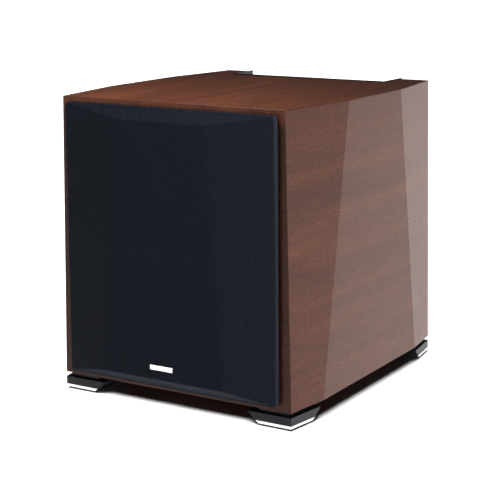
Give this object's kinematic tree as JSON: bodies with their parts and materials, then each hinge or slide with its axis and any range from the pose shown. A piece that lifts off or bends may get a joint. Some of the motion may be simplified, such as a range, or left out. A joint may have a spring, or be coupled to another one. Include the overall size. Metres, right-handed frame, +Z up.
{
  "type": "powered subwoofer",
  "caption": "Faceted wooden powered subwoofer on block feet, with a pull-off five-flat cloth grille and an amplifier in an open rear channel.",
  "frame": {"origin": "middle of the bounding box at floor level, under the soles", "axes": "+X to the listener's right seen from behind the grille, -Y out of the grille, +Z up"},
  "size_m": [0.492, 0.5814, 0.533],
  "materials": {
    "veneer": "satin lacquered walnut veneer on board",
    "raw_board": "bare medium-density fibreboard",
    "black_moulding": "fine satin moulding",
    "grille_cloth": "stretched acoustic cloth",
    "bright_trim": "brushed and bright",
    "foot_paint": "fine satin paint",
    "rubber": "matt",
    "surround_rubber": "smooth satin",
    "frame_paint": "textured black paint",
    "plated_steel": "zinc plated",
    "ferrite": "bare sintered ferrite",
    "cone_paper": "pressed black fibre pulp",
    "spider_cloth": "resin-stiffened cotton",
    "winding": "enamelled copper wire",
    "former": "bare foil",
    "black_anodised": "black anodised satin",
    "bare_sheet": "zinc-coated sheet",
    "circuit_board": "solder mask",
    "capacitor_sleeve": "shrink sleeve",
    "transformer_tape": "polyester tape wrap",
    "black_plastic": "moulded",
    "knob_plastic": "satin moulded",
    "jack_metal": "gold-tone plating",
    "lamp_lens": "clear tinted lens",
    "lead_sheath": "flexible sheath"
  },
  "bodies": {
    "cabinet": {"cabinet_top": "veneer", "cabinet_bottom": "veneer", "side_panel_left": "veneer", "side_panel_right": "veneer", "front_baffle": "veneer", "rear_post_left": "veneer", "rear_post_right": "veneer", "back_panel": "raw_board", "window_brace": "raw_board", "rear_liner": "black_moulding", "foot_plate_front_left": "bright_trim", "foot_plate_front_right": "bright_trim", "foot_plate_rear_left": "bright_trim", "foot_plate_rear_right": "bright_trim", "foot_body_front_left": "foot_paint", "foot_body_front_right": "foot_paint", "foot_body_rear_left": "foot_paint", "foot_body_rear_right": "foot_paint", "foot_sole_front_left": "rubber", "foot_sole_front_right": "rubber", "foot_sole_rear_left": "rubber", "foot_sole_rear_right": "rubber", "grille_socket_lower_left": "rubber", "grille_socket_lower_right": "rubber", "grille_socket_upper_left": "rubber", "grille_socket_upper_right": "rubber", "driver_trim_ring": "rubber", "driver_surround": "surround_rubber", "driver_basket": "frame_paint", "driver_top_plate": "plated_steel", "driver_pole_plate": "plated_steel", "driver_magnet": "ferrite", "driver_spider": "spider_cloth", "amp_plate": "black_anodised", "heatsink": "black_anodised", "amp_tub": "bare_sheet", "amp_board": "circuit_board", "control_board": "circuit_board", "capacitor_left": "capacitor_sleeve", "capacitor_right": "capacitor_sleeve", "toroid_transformer": "transformer_tape", "mains_inlet": "black_plastic", "power_switch_frame": "black_plastic", "driver_terminal": "black_plastic", "input_jacks": "jack_metal", "status_lamp": "lamp_lens", "speaker_lead": "lead_sheath"},
    "grille": {"grille_frame": "black_moulding", "grille_cloth": "grille_cloth", "grille_badge": "bright_trim"},
    "cone": {"driver_cone": "cone_paper", "driver_dust_cap": "cone_paper", "voice_coil_former": "former", "voice_coil_winding": "winding"},
    "rocker": {"power_rocker": "black_plastic"},
    "level": {"level_knob": "knob_plastic"},
    "cutoff": {"cutoff_knob": "knob_plastic"},
    "phase": {"phase_knob": "knob_plastic"},
    "mode": {"mode_switch": "black_plastic"},
    "drawer": {"fuse_drawer": "black_plastic"}
  },
  "joints": [
    {"name": "grille_pull", "type": "slide", "parent": "cabinet", "child": "grille", "axis": [0, -1, 0], "range_m": [0, 0.08]},
    {"name": "cone_travel", "type": "slide", "parent": "cabinet", "child": "cone", "axis": [0, -1, 0], "range_m": [-0.014, 0.014], "stiffness_N_per_m": 4500},
    {"name": "power_rock", "type": "hinge", "parent": "cabinet", "child": "rocker", "pos_m": [0.1, 0.21768, 0.183], "axis": [1, 0, 0], "range_deg": [-20, 0]},
    {"name": "level_turn", "type": "hinge", "parent": "cabinet", "child": "level", "pos_m": [0.045, 0.21668, 0.221], "axis": [0, 1, 0], "range_deg": [-150, 150]},
    {"name": "cutoff_turn", "type": "hinge", "parent": "cabinet", "child": "cutoff", "pos_m": [-0.015, 0.21668, 0.221], "axis": [0, 1, 0], "range_deg": [-150, 150]},
    {"name": "phase_turn", "type": "hinge", "parent": "cabinet", "child": "phase", "pos_m": [-0.075, 0.21668, 0.221], "axis": [0, 1, 0], "range_deg": [-150, 150]},
    {"name": "mode_slide", "type": "slide", "parent": "cabinet", "child": "mode", "axis": [1, 0, 0], "range_m": [-0.003, 0.003]},
    {"name": "drawer_slide", "type": "slide", "parent": "cabinet", "child": "drawer", "axis": [0, 1, 0], "range_m": [0, 0.022]}
  ]
}
